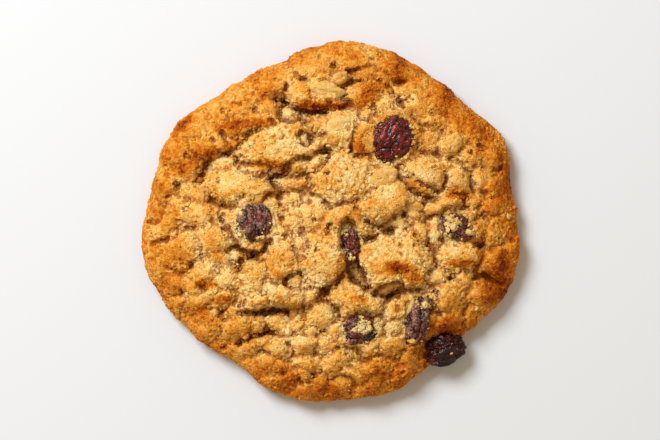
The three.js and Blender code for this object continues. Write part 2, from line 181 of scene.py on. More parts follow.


# %% [markdown]
# ## The crust's map
#
# The top is described by two tables. CLODS lists the big lumps as ellipses: middle x and y, half
# length, half width, turn in degrees, and how far the lump stands above the plain dome, or
# sinks below it.
# CRACKS lists the deep splits and pits as strokes: half width, depth, and the points that the
# stroke runs through. A map given in tables is used rather than noise alone because the lumps of a
# real crust are few and large, and the eye knows them one by one.

# %% The clods
CLODS = [
    # the far left, where the rim is broad and smooth
    (-34.4, 14.6, 4.0, 3.0, 62, 1.0),
    (-31.2, 20.6, 4.6, 3.0, 44, 1.3),
    (-25.4, 26.0, 4.8, 2.8, 36, 0.9),
    (-19.2, 30.0, 4.4, 2.4, 28, 1.3),
    (-19.8, 25.6, 3.4, 2.6, 20, 2.1),
    (-18.0, 21.6, 5.6, 2.2, 12, 1.9),
    (-25.2, 21.6, 3.4, 2.4, 40, 1.2),
    (-28.2, 16.6, 4.8, 2.8, 30, 2.0),
    (-32.0, 11.4, 3.6, 2.6, 20, 0.9),
    (-12.6, 30.4, 4.6, 3.4, 20, 1.4),
    (-6.6, 28.0, 2.6, 3.2, 0, 1.3),
    (-14.0, 25.2, 2.6, 1.8, 0, 0.6),
    (-8.6, 23.4, 3.4, 1.7, -5, -1.6),
    (-3.2, 23.0, 2.4, 1.4, 20, -1.2),
    # the clods below the long crack
    (-12.0, 16.0, 8.8, 5.0, 14, 2.5),
    (-15.8, 11.4, 4.6, 1.9, 8, 1.5),
    (-5.6, 18.0, 2.2, 1.6, -20, 1.0),
    (-7.6, 12.6, 3.2, 2.2, 25, 0.9),
    (-2.8, 12.8, 2.6, 1.8, 15, 1.2),
    (-23.2, 12.4, 2.6, 1.5, 35, 0.8),
    (-20.8, 7.0, 6.8, 3.6, -4, 2.0),
    (-30.8, 6.0, 2.8, 2.1, -10, 1.0),
    (-29.2, 1.6, 3.0, 3.2, 60, 0.9),
    (-34.4, 2.0, 2.8, 2.6, 0, 0.7),
    (-8.6, 8.4, 3.8, 1.9, -6, -0.1),
    (-9.2, 4.4, 3.0, 2.0, 30, -0.7),
    (-8.4, -0.4, 2.4, 3.4, 20, -0.3),
    (-6.6, -6.0, 1.9, 2.6, 15, 0.5),
    # the middle
    (3.4, 8.8, 7.4, 5.0, 28, 2.7),
    (-3.4, 2.2, 3.6, 3.0, 50, 1.7),
    (12.4, 4.0, 6.6, 3.4, 18, 3.2),
    (12.6, 10.4, 2.6, 1.9, 60, 2.2),
    (3.2, 0.0, 5.8, 3.0, -4, 2.3),
    (2.4, 20.4, 3.7, 3.9, -10, 2.3),
    (8.2, 18.0, 3.0, 3.5, -15, 1.6),
    (5.6, -10.8, 4.6, 1.7, -58, -2.3),
    # the far rim
    (-4.6, 35.2, 5.6, 2.8, 12, 1.2),
    (6.4, 36.0, 5.6, 3.0, -6, 1.3),
    (15.4, 33.8, 3.6, 2.4, -28, 1.0),
    (2.4, 31.9, 1.9, 1.3, 10, 1.2),
    (7.6, 32.8, 3.8, 1.9, 5, 0.6),
    (8.4, 28.3, 4.6, 2.5, 28, 1.5),
    (-1.0, 28.4, 3.6, 2.1, -6, 1.3),
    (0.0, 26.0, 4.8, 1.3, 4, 0.7),
    (12.6, 26.6, 2.3, 2.6, -35, 1.2),
    # the far right
    (19.4, 29.6, 3.2, 2.5, -15, 1.0),
    (24.6, 27.4, 3.3, 3.0, 20, 1.2),
    (19.4, 25.6, 2.6, 1.7, -30, 0.8),
    (28.6, 24.6, 3.0, 2.3, -35, 1.0),
    (22.4, 22.4, 3.0, 1.5, -14, 1.3),
    (21.6, 17.6, 2.9, 2.2, -10, 1.2),
    (27.4, 17.4, 3.2, 2.0, 24, 1.5),
    (32.8, 20.6, 3.4, 2.7, -40, 1.3),
    (31.6, 14.0, 3.0, 2.3, 10, 1.0),
    (36.4, 14.8, 2.6, 2.6, 0, 1.1),
    (20.6, 10.4, 4.8, 2.7, -8, 2.2),
    (19.6, 7.2, 3.4, 1.6, -6, 1.0),
    (28.8, 8.9, 2.6, 2.8, 0, 1.5),
    (34.0, 9.2, 2.4, 2.0, 25, 0.8),
    (25.0, 3.0, 4.2, 2.3, 14, 2.0),
    (32.0, 4.4, 2.6, 1.7, 40, 0.9),
    (36.4, 3.2, 3.0, 2.3, 10, 1.1),
    (22.8, -3.6, 1.9, 2.6, 30, 1.2),
    # the near right
    (14.8, -8.8, 7.2, 5.4, -8, 2.6),
    (29.0, -8.3, 4.0, 2.7, -4, 1.7),
    (36.6, -9.0, 3.2, 3.0, 60, 1.3),
    (36.4, -3.4, 3.2, 2.3, 80, 1.0),
    (24.2, -12.4, 2.1, 1.9, 60, 0.7),
    (26.6, -17.4, 3.0, 3.7, 10, 1.9),
    (26.4, -22.4, 3.0, 2.5, 20, 1.4),
    (34.0, -16.2, 3.4, 2.7, 60, 1.0),
    (31.8, -22.2, 2.5, 2.2, 60, 0.7),
    (13.4, -15.6, 3.4, 1.2, 14, 0.2),
    (5.6, -18.2, 5.8, 2.8, -10, 2.4),
    (13.6, -20.6, 3.4, 1.9, 30, 1.3),
    (17.0, -19.4, 1.6, 2.9, -25, 1.2),
    (14.0, -27.0, 3.4, 2.5, 15, 1.5),
    (9.6, -33.0, 4.6, 1.9, 4, 1.3),
    (1.6, -31.8, 3.2, 2.2, 10, 1.1),
    (2.4, -25.6, 2.5, 2.4, 0, 0.9),
    # the near left
    (-17.6, -1.2, 4.8, 6.0, -12, 1.8),
    (-26.4, -4.6, 3.2, 3.4, 40, 1.9),
    (-24.6, -8.4, 3.5, 2.1, -28, 1.3),
    (-33.6, -7.0, 4.6, 2.8, 22, 1.3),
    (-28.4, -11.6, 2.5, 3.0, -30, 1.2),
    (-37.2, -1.4, 3.1, 2.7, 90, 0.9),
    (-11.2, -9.4, 3.6, 5.0, -8, 2.4),
    (-17.4, -13.0, 3.4, 3.4, 0, 1.9),
    (-11.0, -16.0, 4.6, 2.4, -12, 2.0),
    (-23.0, -13.0, 2.8, 2.3, 20, 1.2),
    (-15.8, -17.8, 3.6, 1.8, 5, 1.8),
    (-8.2, -17.6, 3.2, 1.6, 5, 1.5),
    (-1.0, -9.4, 4.2, 5.8, -22, 2.6),
    (-24.0, -17.6, 2.6, 2.2, -10, 1.5),
    (-29.4, -17.8, 2.6, 2.3, 30, 0.9),
    (-20.2, -23.4, 4.0, 2.2, 14, 1.5),
    (-26.4, -22.6, 2.9, 2.2, -40, 0.9),
    (-12.2, -22.6, 3.1, 1.9, 0, 0.5),
    (-7.4, -23.0, 2.1, 1.6, 20, 0.2),
    (-2.2, -21.4, 3.6, 2.2, 30, 0.2),
    (-17.0, -28.2, 3.4, 1.7, 20, 1.2),
    (-11.0, -28.6, 2.5, 2.2, 30, 1.2),
    (-5.0, -27.6, 3.2, 2.0, 10, 1.4),
    (-4.6, -32.0, 3.6, 1.7, 0, 1.1),
    (-13.0, -32.8, 3.2, 1.9, -20, 0.8),
]
print(len(CLODS), "clods")

# %% The raisins: long, wide, thick, the turn of the length from +X, and a nudge in x and y
RAISINS = {
    "raisin_far": (12.2, 10.0, 6.6, 52, -0.9, 0.3),
    "raisin_left": (10.2, 8.2, 5.4, 76, -0.2, 0.3),
    "raisin_middle": (8.2, 4.4, 5.0, 98, -0.4, 0.8),
    "raisin_right": (8.6, 6.2, 4.8, -28, -0.2, 0.6),
    "raisin_near": (13.2, 6.2, 5.2, 75, 0.5, 1.2),
    "raisin_sunken": (10.2, 6.8, 4.8, 16, -0.4, 0.5),
    "raisin_edge": (10.0, 7.6, 6.4, 15, 0.0, 0.0),
}
raisin_middles = {
    name: (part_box(name)[0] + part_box(name)[1]) / 2 / MM + Vector((*nudge, 0))
    for name, (_, _, _, _, *nudge) in RAISINS.items()
}
print("raisins", {name: [round(c, 1) for c in middle] for name, middle in raisin_middles.items()})

# %% The cracks
CRACKS = [
    (1.0, 3.2, (-27.5, 12.8), (-24.5, 14.2), (-21.5, 15.8), (-18.5, 18.4), (-14.2, 20.6)),
    (1.5, 2.6, (-28.4, 13.2), (-28.0, 11.5), (-29.8, 8.4)),
    (0.7, 2.1, (-34.8, 8.6), (-33.4, 6.6), (-33.2, 5.0)),
    (0.9, 2.8, (-28.3, 8.0), (-27.2, 5.2), (-25.2, 2.9), (-22.5, 2.2), (-20.0, 3.2)),
    (0.7, 1.5, (-21.8, 14.2), (-21.0, 12.8), (-22.2, 11.2)),
    (1.9, 3.0, (-12.4, 26.8), (-10.6, 26.2), (-9.0, 25.2)),
    (1.1, 1.6, (-9.0, 25.0), (-5.0, 24.3), (-1.0, 24.3), (1.0, 25.0), (4.4, 26.0), (6.2, 24.6)),
    (0.7, 2.0, (-9.4, 30.4), (-8.9, 27.6)),
    (0.7, 2.0, (-8.4, 33.2), (-7.0, 31.6), (-5.4, 31.0), (-4.8, 32.4)),
    (0.5, 1.7, (-3.6, 31.4), (0.2, 31.7)),
    (0.7, 1.8, (0.2, 34.8), (1.1, 34.0)),
    (0.7, 1.8, (2.9, 27.8), (3.6, 29.8)),
    (0.7, 2.5, (-24.6, 20.6), (-22.2, 17.6)),
    (0.55, 2.2, (-27.2, 18.6), (-25.0, 17.4)),
    (0.6, 2.0, (-24.0, 25.4), (-23.4, 24.6)),
    (1.1, 2.4, (13.4, 29.6), (15.4, 30.4), (17.2, 31.6)),
    (1.0, 2.4, (14.8, 29.0), (15.4, 26.4), (16.6, 24.2), (19.0, 21.8), (20.0, 19.4)),
    (0.9, 2.0, (-5.0, 18.4), (-2.5, 16.6)),
    (1.1, 2.4, (-1.7, 15.8), (0.4, 14.6)),
    (0.6, 2.4, (7.9, 14.9), (9.9, 13.1)),
    (0.8, 1.3, (-9.0, 13.6), (-8.8, 12.0), (-10.6, 10.0), (-12.8, 8.4)),
    (0.9, 1.9, (-13.4, 8.0), (-11.8, 6.2), (-12.3, 4.6)),
    (1.2, 1.9, (-5.2, 4.5), (-4.2, 3.3)),
    (0.6, 1.2, (-19.8, 4.0), (-18.0, 5.6)),
    (0.8, 2.7, (20.8, 4.6), (22.6, 4.5), (24.6, 5.1)),
    (0.8, 1.5, (25.0, 6.4), (26.4, 9.6), (26.2, 11.2)),
    (1.2, 1.3, (15.0, 12.6), (14.8, 10.6), (16.0, 7.6), (18.0, 5.2), (18.8, 3.4), (17.8, 1.4)),
    (1.5, 1.7, (24.4, 16.0), (24.9, 13.2)),
    (1.0, 2.8, (33.4, 6.5), (36.0, 6.1)),
    (0.7, 2.0, (33.0, 16.3), (34.4, 15.9)),
    (0.6, 1.8, (37.0, 10.4), (39.6, 12.2)),
    (1.1, 3.2, (-25.0, 1.0), (-22.8, -2.4), (-20.0, -6.0), (-17.6, -8.4), (-14.8, -6.2), (-12.0, -3.4)),
    (1.3, 2.3, (-10.8, -3.6), (-10.1, -4.5)),
    (1.3, 2.4, (-20.7, -10.7), (-19.3, -11.1)),
    (0.5, 0.9, (-20.0, -13.0), (-19.5, -14.8)),
    (0.8, 1.7, (-40.0, -5.4), (-37.0, -5.0), (-34.6, -4.7), (-31.8, -2.4), (-30.0, -1.4)),
    (0.7, 1.9, (-30.9, -8.4), (-30.7, -11.2)),
    (1.4, 1.5, (-29.0, -14.6), (-27.0, -15.2)),
    (1.2, 3.2, (-21.8, -20.1), (-18.0, -20.6), (-14.0, -20.4), (-9.6, -20.0), (-6.6, -19.2),
     (-4.6, -18.6)),
    (0.6, 1.4, (-19.0, -17.0), (-18.3, -18.8)),
    (0.5, 1.1, (-13.4, -16.8), (-13.4, -18.6)),
    (0.6, 2.2, (-7.2, -11.5), (-5.9, -12.8)),
    (0.7, 2.4, (-7.2, -15.6), (-5.0, -15.8)),
    (1.4, 3.4, (4.2, -9.8), (2.4, -12.6), (0.2, -14.2), (-1.4, -16.0), (-2.4, -17.8)),
    (0.9, 3.2, (6.8, -4.4), (8.4, -4.0), (10.4, -3.8), (12.0, -3.2)),
    (1.5, 3.2, (12.2, -3.0), (14.2, -2.1)),
    (0.9, 1.9, (20.5, -2.4), (21.7, -5.2), (23.4, -7.4), (24.2, -10.4)),
    (0.8, 2.6, (25.5, -12.1), (27.5, -12.9)),
    (1.3, 2.7, (11.0, -16.4), (13.2, -17.8), (15.4, -17.4), (17.2, -16.0), (19.6, -15.2), (22.4, -16.0)),
    (1.0, 3.4, (31.6, -12.8), (34.6, -12.5), (36.6, -13.2), (39.4, -14.4)),
    (0.5, 1.6, (15.0, -18.8), (15.5, -20.4)),
    (0.9, 2.4, (-22.2, -28.1), (-20.0, -27.2), (-17.6, -26.0), (-14.0, -25.2), (-9.6, -25.5),
     (-7.4, -24.6)),
    (1.3, 2.8, (-20.6, -27.2), (-19.0, -26.6)),
    (1.3, 2.2, (-24.4, -28.3), (-22.5, -29.1)),
    (0.7, 1.9, (-8.2, -35.0), (-5.8, -36.4)),
    (0.6, 1.7, (-12.4, -33.6), (-10.4, -35.0)),
    (0.5, 1.5, (-4.2, -35.2), (-2.2, -34.4)),
    (0.7, 2.0, (5.8, -31.5), (9.6, -30.8)),
    (0.7, 2.0, (-33.9, -14.8), (-32.7, -17.2)),
    (0.7, 2.0, (-33.6, -20.4), (-32.6, -21.0)),
    (0.5, 0.9, (-30.0, -22.6), (-29.0, -23.2)),
]
print(len(CRACKS), "cracks")

# %% [markdown]
# ## From the map to heights
#
# Every point belongs to the clod it is nearest to, counted in that clod's own sizes. Where the
# nearest and the second nearest are equally near lies the border between two clods, and the
# crust dips to a narrow cusp there, because torn dough has steep, round-shouldered edges.
# Before the map is asked, the point is pushed about by noise of three sizes. That is what
# makes the borders as ragged as a tear. Each clod's top is rounded, leans a little and has a
# crumbliness of its own. Small ragged pores open in patches, and round a raisin the crust is
# brought to the raisin's height, so that it sits in a seat.

# %% Dimensions of the crust
WIDEST_AT = 3.4  # height of the widest part of the edge
BASE_INSET = 1.8  # how far the underside stops short of it
SHOULDER = 9.4  # height where the edge has rolled over into the top
CROWN = 3.2  # how much higher the middle is than the shoulder
ROLL = 5  # power of the edge's roll
RAGGED = [(6.0, 1.1), (2.3, 0.55), (1.0, 0.24)]  # span and size of the pushes
BORDER_WIDTH = 1.1  # from the bottom of a border to the full height of the clod
BORDER_DEPTH = 1.6
FLUSH_BORDER = 0.3  # share of that depth where two clods stand equally high
LIFTING = 1.15  # the table's lifts are multiplied by this
CLOD_ROUNDING = 0.9  # how far a clod's top falls from its middle to its ellipse
PORE_DEPTH = 1.6
SUNKEN_CRUMB, SUNKEN_SPLIT = 1.6, 1.2  # how crumbly and how split the ground of a sunken clod is
SEAT_CRUMB, SEAT_SPLIT = 1.5, 0.7  # the same for the crust close round a raisin
HOLLOW_DEPTH = 0.8  # how far the ground beyond every clod's ellipse lies below it
SEAT_REACH = 1.3  # the crust follows a raisin out to this multiple of its size
SEAT_COLLAR = 0.3  # how far up a raisin's upper half the crust closes on it
EDGE_CALM = 0.8  # share of the relief that is gone at the very edge


def dome(share):
    roll = np.sqrt(np.clip(1 - share**ROLL, 0, 1))
    return WIDEST_AT + (SHOULDER - WIDEST_AT) * roll + CROWN * (1 - share * share)


def pushed(x, y):
    for number, (span, size) in enumerate(RAGGED):
        x, y = (
            x + size * noise_at(x, y, span, 3.7 + number),
            y + size * noise_at(x, y, span, 9.2 + number),
        )
    return x, y


def ellipse_distance(x, y, middle_x, middle_y, long, wide, turn):
    """1 on the ellipse, less inside it."""
    c, s = math.cos(math.radians(turn)), math.sin(math.radians(turn))
    along = (x - middle_x) * c + (y - middle_y) * s
    across = (y - middle_y) * c - (x - middle_x) * s
    return np.hypot(along / long, across / wide)


def stroke_distance(x, y, points):
    """Distance to a stroke, and how far along it the nearest point is, from 0 to 1."""
    nearest = np.full(np.shape(x), np.inf)
    along = np.zeros(np.shape(x))
    count = len(points) - 1
    for number, ((ax, ay), (bx, by)) in enumerate(zip(points, points[1:])):
        dx, dy = bx - ax, by - ay
        t = np.clip(((x - ax) * dx + (y - ay) * dy) / (dx * dx + dy * dy), 0, 1)
        distance = np.hypot(x - ax - t * dx, y - ay - t * dy)
        closer = distance < nearest
        nearest = np.where(closer, distance, nearest)
        along = np.where(closer, (number + t) / count, along)
    return nearest, along


# %% The small clods between the large ones
FILLER_SPACING = 4.4
GOLDEN_TURN = math.pi * (3 - math.sqrt(5))


def filler_clods():
    """Small clods on a sunflower's spiral, wherever no large clod lies."""
    rng = scatter_numbers(5)
    small = []
    for number in range(int(math.pi * (MEAN_RADIUS / FILLER_SPACING) ** 2)):
        radius = FILLER_SPACING * math.sqrt(number / math.pi)
        x, y = radius * math.cos(number * GOLDEN_TURN), radius * math.sin(number * GOLDEN_TURN)
        long, wide, turn, lift = rng.uniform((1.9, 1.5, 0, 0.1), (3.2, 2.3, 180, 1.3))
        if all(ellipse_distance(x, y, *clod[:5]) > 1.15 for clod in CLODS):
            small.append((x, y, long, wide, turn, lift))
    return small


all_clods = CLODS + filler_clods()
print(len(all_clods) - len(CLODS), "small clods fill the ground between")

# %% The height of the crust at any point
TILT = 0.12  # a clod's top leans by up to this slope
clod_tilts = scatter_numbers(8).uniform(-TILT, TILT, (len(all_clods), 2))
clod_crumb = scatter_numbers(9).uniform(0.4, 1.2, len(all_clods))  # how crumbly each one's top is


def crust(x, y):
    """Height of the crust, how deep the point lies in a crack or border, and how crumbly it is."""
    share = np.hypot(x, y) / outline_radius(x, y)
    px, py = pushed(x, y)
    first = np.full(x.shape, np.inf)
    second = np.full(x.shape, np.inf)
    lift = np.zeros(x.shape)
    second_lift = np.zeros(x.shape)
    wide = np.ones(x.shape)
    coarse = np.ones(x.shape)
    for clod, (lean_x, lean_y), crumb in zip(all_clods, clod_tilts, clod_crumb):
        distance = ellipse_distance(px, py, *clod[:5])
        top = clod[5] + lean_x * (x - clod[0]) + lean_y * (y - clod[1])
        closer = distance < first
        second_lift = np.where(closer, lift, np.where(distance < second, top, second_lift))
        second = np.where(closer, first, np.minimum(second, distance))
        first = np.where(closer, distance, first)
        lift = np.where(closer, top, lift)
        wide = np.where(closer, clod[3], wide)
        coarse = np.where(closer, crumb, coarse)
    rimward = smoothstep(share, 0.80, 0.97)
    inside = (second - first) * wide / 2
    uneven = 0.7 + 1.5 * noise_at(x, y, 7.0, 4.4)
    step = FLUSH_BORDER + (1 - FLUSH_BORDER) * smoothstep(np.abs(lift - second_lift), 0.2, 1.4)
    depth = BORDER_DEPTH * step * np.clip(uneven, 0.2, 1.6) * (1 - 0.5 * rimward)
    border = depth * (1 - np.clip(inside / BORDER_WIDTH, 0, 1)) ** 2
    hollow = HOLLOW_DEPTH * smoothstep(first, 1.0, 1.7) * (1 - rimward)
    split = np.zeros(x.shape)
    for half_width, crack_depth, *points in CRACKS:
        distance, along = stroke_distance(px, py, points)
        taper = np.sqrt(np.sin(np.pi * np.clip(along, 0.06, 0.94)))
        reach = 1.3 * half_width * taper
        split = np.maximum(split, crack_depth * taper * (1 - np.clip(distance / reach, 0, 1)) ** 1.5)
    clustered = smoothstep(noise_at(x, y, 6.0, 8.2), -0.1, 0.3)
    ragged = noise_at(px, py, 1.6, 6.3) + 0.7 * noise_at(x, y, 0.7, 2.9)
    pores = smoothstep(ragged, 0.46, 0.66) * clustered
    split = np.maximum(split, PORE_DEPTH * pores)
    at_edge = 1 - EDGE_CALM * smoothstep(share, 0.94, 1.0)
    border, split = border * at_edge, split * at_edge
    swelling = 0.35 * noise_at(x, y, 8.0, 0.5) + 0.2 * noise_at(x, y, 3.4, 2.5)
    rounding = CLOD_ROUNDING * np.minimum(first, 1.4) ** 2 * (1 - 0.5 * rimward)
    height = dome(share) + LIFTING * lift * (1 - 0.2 * rimward) + swelling
    height = height - rounding - border - hollow - split
    sunken = smoothstep(-lift, 1.2, 2.2) * (1 - smoothstep(first, 1.0, 1.3))
    coarse = np.maximum(coarse * (0.6 + 0.7 * smoothstep(first, 0.4, 1.1)), SUNKEN_CRUMB * sunken)
    split = np.maximum(split, SUNKEN_SPLIT * sunken)
    for name, (long, wide, thick, turn, *_) in RAISINS.items():
        middle = raisin_middles[name]
        reach = ellipse_distance(px, py, middle.x, middle.y, long / 2, wide / 2, turn)
        seat = middle.z + SEAT_COLLAR * thick / 2 * np.minimum(reach, 1) ** 2
        height = seat + (height - seat) * smoothstep(reach, 0.95, SEAT_REACH)
        beside = 1 - smoothstep(reach, 1.0, 1.35)
        coarse = np.maximum(coarse, SEAT_CRUMB * beside)
        split = np.maximum(split, SEAT_SPLIT * beside)
    return height, border + split, coarse


# %% [markdown]
# ## The dough
#
# The dough starts as a plain cylinder. A voxel remesh gives it thousands of small square faces,
# and then each vertex is moved: outwards to the outline, and up to the crust's height above
# its place, in proportion to how high it was in the cylinder. The walls of the clods are
# stretched by that, so a second remesh evens them out before the fine relief goes on.

# %% Shape the cylinder into the dough
BLANK_HEIGHT = 12.0
BLANK_FACE = 0.36
FINE_FACE = 0.33

deselect_all()
bpy.ops.mesh.primitive_cylinder_add(
    vertices=256, radius=MEAN_RADIUS * MM, depth=BLANK_HEIGHT * MM,
    location=(0, 0, BLANK_HEIGHT / 2 * MM),
)
dough = new_piece("baked_dough")
bpy.ops.object.transform_apply(location=True, rotation=True, scale=True)
even_faces(dough, BLANK_FACE)
places = read_places(dough)
share = np.hypot(places[:, 0], places[:, 1]) / MEAN_RADIUS
stretch = outline_radius(places[:, 0], places[:, 1]) / MEAN_RADIUS
places[:, :2] *= stretch[:, None]
height, _, _ = crust(places[:, 0], places[:, 1])
places[:, 2] = np.clip(places[:, 2] / BLANK_HEIGHT, 0, 1) * np.maximum(height, 2.0)
tuck = BASE_INSET * np.clip(1 - places[:, 2] / WIDEST_AT, 0, 1) ** 2 * smoothstep(share, 0.8, 1)
places[:, :2] *= (1 - tuck / MEAN_RADIUS)[:, None]
write_places(dough, places)
even_faces(dough, FINE_FACE)
print("dough:", len(dough.data.vertices), "vertices after the second remesh")

# %% [markdown]
# ## The crumb
#
# Up close the crust is granular: flour, sugar and oat dust have baked into lumps of a few
# millimetres, and those into grains. Each size gets a Displace modifier with a Voronoi texture.
# The texture's value grows with the distance from a cell's middle, so a negative strength
# makes every cell a rounded grain with a sharp valley round it. One layer of hard noise, which
# swells softly between sharp creases, tears the lumps open. A vertex group keeps the underside
# out of it and holds back the rim and the clods' tops, where the crust has set smoother.

# %% Where the crumb is coarse
CRUMB_LAYERS = [  # kind of texture, span of the grains, and how far they stand out
    ("lumps", "VORONOI", 3.4, -0.36),
    ("tears", "CLOUDS", 1.9, 0.8),
    ("grains", "VORONOI", 1.0, -0.54),
    ("fine grains", "VORONOI", 0.62, -0.46),
]


def weight_group(piece, name, weights):
    group = piece.vertex_groups.new(name=name)
    for step in range(21):
        chosen = np.flatnonzero(np.round(weights * 20) == step)
        if step and len(chosen):
            group.add(chosen.tolist(), step / 20, "REPLACE")
    return name


def displace(piece, texture, strength, group):
    apply_modifier(
        piece, "DISPLACE", texture=texture, texture_coords="LOCAL", direction="NORMAL",
        strength=strength * MM, mid_level=0.5, vertex_group=group,
    )


places = read_places(dough)
share = np.hypot(places[:, 0], places[:, 1]) / outline_radius(places[:, 0], places[:, 1])
above = smoothstep(places[:, 2], 0.6, 3.5)
crumbly = above * (1 - 0.3 * smoothstep(share, 0.9, 0.98))
_, in_crack, coarse = crust(places[:, 0], places[:, 1])
patchy = coarse + 0.3 * noise_at(places[:, 0], places[:, 1], 4.0, 6.1)
weight_group(dough, "crumbly", np.clip(crumbly * patchy, 0, 1))
for name, kind, span, strength in CRUMB_LAYERS:
    texture = bpy.data.textures.new(name, kind)
    texture.noise_scale = span * MM
    if kind == "CLOUDS":
        texture.noise_type = "HARD_NOISE"
        texture.noise_depth = 1
        texture.noise_basis = "IMPROVED_PERLIN"
    displace(dough, texture, strength, "crumbly")
print("dough relief:", [name for name, *_ in CRUMB_LAYERS])

# %% [markdown]
# ## The underside
#
# The underside set against the tray, so it is flat, with shallow pits where gas was caught. It
# takes few faces: the remesh gave it as many as the crust, and an edit-mode decimate takes
# most of them away again.

# %% Flatten and thin the underside
UNDERSIDE_BELOW = 0.5
PIT_DEPTH = 0.45
UNDERSIDE_KEEP = 0.16
MOST_TRIANGLES = 190000

places = read_places(dough)
bottom = places[:, 2] < UNDERSIDE_BELOW
pits = smoothstep(noise_at(places[:, 0], places[:, 1], 2.6, 7.7), 0.28, 0.55) * PIT_DEPTH
inner = smoothstep(share, 0.96, 0.9)
places[:, 2] = np.where(bottom, pits * inner, places[:, 2])
write_places(dough, places)

make_active(dough)
dough.data.polygons.foreach_set("select", np.zeros(len(dough.data.polygons), bool))
dough.data.edges.foreach_set("select", np.zeros(len(dough.data.edges), bool))
dough.data.vertices.foreach_set("select", bottom)
bpy.ops.object.mode_set(mode="EDIT")
bpy.ops.mesh.select_mode(type="VERT")
bpy.ops.mesh.decimate(ratio=UNDERSIDE_KEEP, use_vertex_group=False)
bpy.ops.object.mode_set(mode="OBJECT")
apply_modifier(dough, "TRIANGULATE")
apply_modifier(dough, "DECIMATE", ratio=MOST_TRIANGLES / len(dough.data.polygons))
print("dough:", len(dough.data.polygons), "triangles")

# %% [markdown]
# ## What the oven did to the colour, and the painted shade
#
# A cookie's colour is a record of heat and height. Crests and the rim dry first and brown, and
# the middle stays the colour of butter and flour. Shade is painted in too: the faces in a split,
# a border or a broad dip are darkened as if in shadow. So the material needs to know where it
# is. Three numbers are worked out for each vertex and kept on the mesh as attributes: toast
# says how browned the vertex is, with painted shade in some patches and on the right of the
# rim; pit how far it lies below its near neighbours, and crack how deep it is in a border, a
# split or a broad dip. Pit and crack darken the colour as painted shade.

# %% Attributes of a surface
def smoothed(values, edges, rounds):
    """Each vertex takes the mean of its neighbours, several times over."""
    count = len(values)
    ends = np.concatenate([edges[:, 0], edges[:, 1]])
    others = np.concatenate([edges[:, 1], edges[:, 0]])
    neighbours = np.maximum(np.bincount(ends, minlength=count), 1)
    for _ in range(rounds):
        sums = [np.bincount(ends, column[others], count) for column in values.T]
        values = np.stack(sums, 1) / neighbours[:, None]
    return values


def standing_out(piece, rounds):
    """How far in mm each vertex stands out of the smoothed surface round it."""
    edges = np.empty(len(piece.data.edges) * 2, np.int64)
    piece.data.edges.foreach_get("vertices", edges)
    places = read_places(piece)
    away = places - smoothed(places, edges.reshape(-1, 2), rounds)
    return (away * read_normals(piece)).sum(1)


def keep_attribute(piece, name, values):
    attribute = piece.data.attributes.new(name, "FLOAT", "POINT")
    attribute.data.foreach_set("value", np.asarray(values, np.float32))


# %% Brown patches, partly toasting and partly painted shade on the near slopes of clods and the near rim: middle x and y, half length, half width, turn, and how brown
BROWNED_AND_SHADED = [
    (15.6, -11.0, 3.8, 1.8, -8, 1.0),
    (19.4, -12.8, 2.6, 1.4, -10, 0.8),
    (6.2, -17.6, 2.2, 1.3, 0, 0.6),
    (-24.0, -17.8, 2.0, 1.0, 0, 0.9),
    (-27.4, -14.2, 2.2, 1.2, 0, 0.9),
    (-11.4, -12.2, 2.4, 1.2, -20, 0.6),
    (-13.4, -17.6, 2.4, 1.2, 0, 0.5),
    (-8.0, -18.4, 2.6, 1.0, 0, 0.5),
    (-32.4, 11.6, 3.6, 1.4, 20, 0.9),
    (-19.0, 21.4, 6.0, 1.3, 4, 0.9),
    (-27.0, 15.2, 4.4, 1.3, 10, 0.8),
    (-22.0, 17.6, 2.4, 1.4, 40, 0.7),
    (-0.6, 25.6, 6.4, 1.0, 3, 1.0),
    (9.0, 28.8, 3.6, 2.0, 30, 0.8),
    (3.0, 34.4, 6.0, 1.0, 6, 0.5),
    (8.4, 17.4, 3.0, 3.0, 0, 0.8),
    (-13.0, 12.4, 4.4, 1.2, 8, 0.7),
    (-20.0, 5.6, 2.6, 1.0, 0, 0.5),
    (19.6, 7.2, 3.2, 1.2, -8, 0.6),
    (29.4, 5.6, 3.2, 1.1, 10, 0.7),
    (29.4, -9.8, 3.2, 1.1, 0, 0.8),
    (38.2, -9.4, 2.0, 2.6, -20, 1.0),
    (37.0, -16.0, 2.6, 3.6, -20, 0.8),
    (25.4, -23.2, 3.0, 1.4, 10, 0.8),
    (36.4, 12.2, 2.6, 1.2, 20, 0.6),
    (-39.2, 3.0, 1.6, 3.0, 0, 0.7),
    (-37.6, -10.4, 1.6, 2.6, 20, 0.6),
    (-32.8, 22.0, 3.4, 0.9, 52, 0.9),
    (-36.8, 14.6, 3.0, 0.9, 70, 0.7),
    (22.0, 31.0, 5.0, 2.0, -30, 0.6),
    (33.0, 22.0, 5.0, 2.0, -50, 0.6),
    (-26.0, -6.6, 2.0, 2.6, 30, 0.5),
    (2.4, -9.4, 1.4, 1.6, 0, 0.5),
    (3.4, 0.4, 4.6, 1.8, -14, 0.5),
    (14.0, -36.4, 8.0, 2.0, 12, 0.7),
    (-6.0, -37.6, 8.0, 2.0, 0, 0.8),
    (-14.0, -33.4, 6.0, 2.0, -24, 0.6),
    (-24.0, -28.4, 4.0, 2.4, -36, 0.6),
]


def toast_and_shade_at(x, y):
    """How brown the crust is, from 0 to 1, before its small relief is counted: real browning, with
    painted shade in some patches and on the right of the rim.
    """
    share = np.hypot(x, y) / outline_radius(x, y)
    px, py = pushed(x, y)
    toast = 0.16 + 0.34 * smoothstep(share, 0.62, 0.96)
    # The right half of the rim is made browner: partly real browning, partly painted shade on the side
    # turned from the light.
    toast = toast + 0.10 * smoothstep(x, 0, 36) * smoothstep(share, 0.6, 1.0)
    for *patch, strength in BROWNED_AND_SHADED:
        reach = ellipse_distance(px, py, *patch)
        toast = toast + np.maximum(0.85 * strength - toast, 0) * (1 - smoothstep(reach, 0.3, 1.6))
    return toast + 0.26 * noise_at(x, y, 6.0, 1.9) + 0.16 * noise_at(x, y, 2.1, 5.3)


# %% Keep the attributes on the dough
UNDERSIDE_TOAST = 0.74

